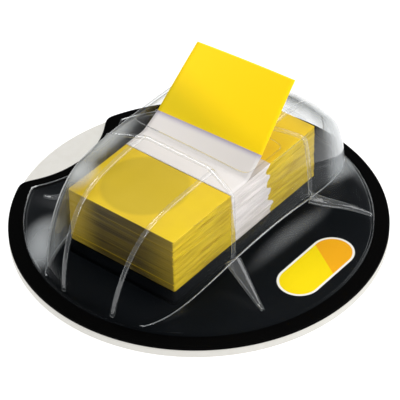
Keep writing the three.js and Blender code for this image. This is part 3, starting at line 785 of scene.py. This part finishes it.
# Ribs pressed into the cover: half-round beads that stiffen it. Two run down each nose, one
# crosses the top at each end of the window and goes down both walls, and a gusset carries
# each of those ends on over the skirt. A fine bead stands for the sharp fold of each crease.
RIB_HALF_WIDTH = 0.5
RIB_RISE = 0.35
RIB_SINK = 0.12
RIB_FOOT = 0.9
RIB_ARC_STEPS = 9
RIB_STEPS = 60
RIB_FOOT_LEVEL = 1.99
NOSE_RIB_X = (8.4, 5.9)
NOSE_RIB_BOW = 2
RIB_MIDDLE_Y = 2.7
CROSS_RIB_REACH = 8.2
CROSS_RIB_STRAIGHT = 7.5
SHOULDER_RIB_REACH = 11
CREASE_RIB_REACH = 12.3
WALL_RIB_STEPS = 24
GUSSET_FOOT = (27, 17.3)
GUSSET_SCALE = (3.4, 0.8)
FOLD_TURN = 50
FOLD_STEPS = 160
FOLD_SCALE = 0.36
FOLD_TAPER = 1.6
FOLD_HEIGHT = 0.45
clear_rib = new_clear("clear_pressed_rib", CLEAR_TINT, 0.07, 0.05, 0.12)
# Painted highlight: the fold beads carry a thick milky veil so that each crease shows as a bright line.
clear_fold_painted_highlight = new_clear("clear_fold_with_painted_highlight", CLEAR_TINT, 0.1, 0.25, 0.12)


def solved(low, high, target, value_at):
    """Where a rising function first passes each target, by halving."""
    low, high = np.full(len(target), float(low)), np.full(len(target), float(high))
    for _ in range(40):
        middle = (low + high) / 2
        below = value_at(middle) < target
        low, high = np.where(below, middle, low), np.where(below, high, middle)
    return (low + high) / 2


def place_at_y(level, y):
    """The place and the outward direction on the cover's right half at a level and a Y."""
    turn = solved(-np.pi / 2, np.pi / 2, y, lambda value: cover_point(value, level)[:, 1])
    return cover_point(turn, level), cover_normal(turn, level)


def new_rib(name, places, normals, scale=1.0, height=1.0, material=clear_rib):
    """A half circle carried along a row of places on the cover, its flat side sunk a little."""
    along = np.gradient(places, axis=0)
    along /= np.linalg.norm(along, axis=1, keepdims=True)
    side = np.cross(along, normals)
    side /= np.linalg.norm(side, axis=1, keepdims=True)
    turn = np.linspace(0, np.pi, RIB_ARC_STEPS)
    across = np.concatenate([np.cos(turn), [-RIB_FOOT, RIB_FOOT]])
    lift = np.concatenate([np.sin(turn) * RIB_RISE * height, [-RIB_SINK, -RIB_SINK]])
    width = np.broadcast_to(np.asarray(scale, float) * RIB_HALF_WIDTH, len(places))
    rows = places[:, None] + side[:, None] * (across[None] * width[:, None])[..., None]
    rows = rows + normals[:, None] * lift[None, :, None]
    faces = [face[::-1] for face in solid_faces(*rows.shape[:2])]
    new_piece(name, rows, faces, material)


fold_turn = np.radians(np.linspace(-FOLD_TURN, FOLD_TURN, FOLD_STEPS))
fold_level = np.full(FOLD_STEPS, 2.0)
for side_name, side_turn in [("right", 0), ("left", np.pi)]:
    fold_places = cover_point(side_turn + fold_turn, fold_level)
    fold_normals = cover_normal(side_turn + fold_turn, fold_level)
    fold_scale = FOLD_SCALE * np.cos(FOLD_TAPER * fold_turn)
    new_rib(f"fold_{side_name}", fold_places, fold_normals, fold_scale, FOLD_HEIGHT, clear_fold_painted_highlight)

run_share = np.linspace(0, 1, RIB_STEPS)
wall_share = np.linspace(0, 1, WALL_RIB_STEPS)
upright = np.tile([0.0, 0.0, 1.0], (RIB_STEPS, 1))
mirrored = np.array([-1, 1, 1])
for end, end_name, window_end, shoulder_end in zip((-1, 1), ("front", "rear"), WINDOW_ENDS, SHOULDER_ENDS):
    rib_from = (RIB_MIDDLE_Y + end * CROSS_RIB_REACH - window_end) / (end * shoulder_end - window_end)
    rib_level = between((rib_from, RIB_FOOT_LEVEL), run_share)
    rib_x = between(NOSE_RIB_X, run_share ** NOSE_RIB_BOW)
    for sign, side_name in [(-1, "left"), (1, "right")]:
        rib_turn = -end * solved(-np.pi, 0, sign * rib_x,
                                 lambda value: cover_point(-end * value, rib_level)[:, 0])
        new_rib(f"nose_rib_{end_name}_{side_name}", cover_point(rib_turn, rib_level),
                cover_normal(rib_turn, rib_level))

    wall_reach = between((SHOULDER_RIB_REACH, CREASE_RIB_REACH), wall_share)
    wall_places, wall_normals = place_at_y(1 + wall_share, RIB_MIDDLE_Y + end * wall_reach)
    edge_x = wall_places[0, 0]
    top_x = np.linspace(-edge_x, edge_x, RIB_STEPS + 2)[1:-1]
    bow = np.clip((np.abs(top_x) - CROSS_RIB_STRAIGHT) / (edge_x - CROSS_RIB_STRAIGHT), 0, 1)
    top_y = RIB_MIDDLE_Y + end * between((CROSS_RIB_REACH, SHOULDER_RIB_REACH), bow)
    top_z = top_height(top_x, top_y) - SHOULDER_ROUND * np.abs(top_x / SHOULDER_HALF_WIDTH) ** 6
    top_places = np.column_stack([top_x, top_y, top_z])
    cross_places = np.vstack([(wall_places * mirrored)[::-1], top_places, wall_places])
    cross_normals = np.vstack([(wall_normals * mirrored)[::-1], upright, wall_normals])
    new_rib(f"cross_rib_{end_name}", cross_places, cross_normals)

    gusset_top = wall_places[-1]
    gusset_x = between((gusset_top[0], GUSSET_FOOT[0]), run_share)
    gusset_y = RIB_MIDDLE_Y + end * between((CREASE_RIB_REACH, GUSSET_FOOT[1]), run_share)
    gusset_level = solved(2, 3, gusset_x, lambda value: place_at_y(value, gusset_y)[0][:, 0])
    sheet_z = place_at_y(gusset_level, gusset_y)[0][:, 2]
    gusset_z = np.maximum(sheet_z, between((gusset_top[2], RIM_TOP), run_share))
    gusset_places = np.column_stack([gusset_x, gusset_y, gusset_z])
    gusset_scale = between(GUSSET_SCALE, run_share)
    new_rib(f"gusset_{end_name}_right", gusset_places, upright, gusset_scale)
    new_rib(f"gusset_{end_name}_left", gusset_places * mirrored, upright, gusset_scale)

# Floor: a white sweep that glows a little, so that the camera sees plain white behind the
# object and only a breath of shadow.
FLOOR_SIZE = 3.0
FLOOR_GREY = (0.35, 0.35, 0.35, 1)
FLOOR_GLOW_STRENGTH = 0.88
floor_mesh = bpy.data.meshes.new("floor")
floor_corners = np.array([(-1, -1, 0), (1, -1, 0), (1, 1, 0), (-1, 1, 0)]) * FLOOR_SIZE / 2
floor_mesh.from_pydata(floor_corners.tolist(), [], [(0, 1, 2, 3)])
floor = bpy.data.objects.new("floor", floor_mesh)
scene.collection.objects.link(floor)
paper, paper_shader, _ = new_material("white_sweep")
paper_shader.inputs["Base Color"].default_value = FLOOR_GREY
paper_shader.inputs["Emission Color"].default_value = (1, 1, 1, 1)
paper_shader.inputs["Emission Strength"].default_value = FLOOR_GLOW_STRENGTH
paper_shader.inputs["Roughness"].default_value = 1.0
paper_shader.inputs["Specular IOR Level"].default_value = 0.0
floor_mesh.materials.append(paper)

# Lights: five soft boxes in a dim grey room. The main one stands behind on the right. One
# lies low on the right, one hangs overhead, one at the upper left lights the left side of the
# block and the cover, and one straight behind lights the rear nose.
ROOM_GREY = (0.13, 0.133, 0.137, 1)
BOX_AIM = Vector((0, 0, 0.01))


def soft_box(name, place, size, watts):
    """A flat area lamp at a place, turned towards the dispenser."""
    lamp = bpy.data.lights.new(name, "AREA")
    lamp.shape = "RECTANGLE"
    lamp.size, lamp.size_y = size
    lamp.energy = watts
    lit = bpy.data.objects.new(name, lamp)
    turn = (BOX_AIM - Vector(place)).to_track_quat("-Z", "Y")
    lit.matrix_world = Matrix.Translation(Vector(place)) @ turn.to_matrix().to_4x4()
    scene.collection.objects.link(lit)


soft_box("rear_right_box", (0.38, 0.32, 0.42), (0.55, 0.50), 2.3)
soft_box("right_box", (0.60, -0.06, 0.24), (0.30, 0.16), 1.7)
soft_box("overhead_box", (0.05, -0.14, 0.62), (0.35, 0.35), 0.8)
soft_box("upper_left_box", (-0.342, 0.042, 0.551), (0.27, 0.27), 1.65)
soft_box("rear_box", (0.0, 0.46, 0.46), (0.36, 0.26), 0.8)

world = bpy.data.worlds.new("studio")
world.use_nodes = True
scene.world = world
world.node_tree.nodes["Background"].inputs["Color"].default_value = ROOM_GREY
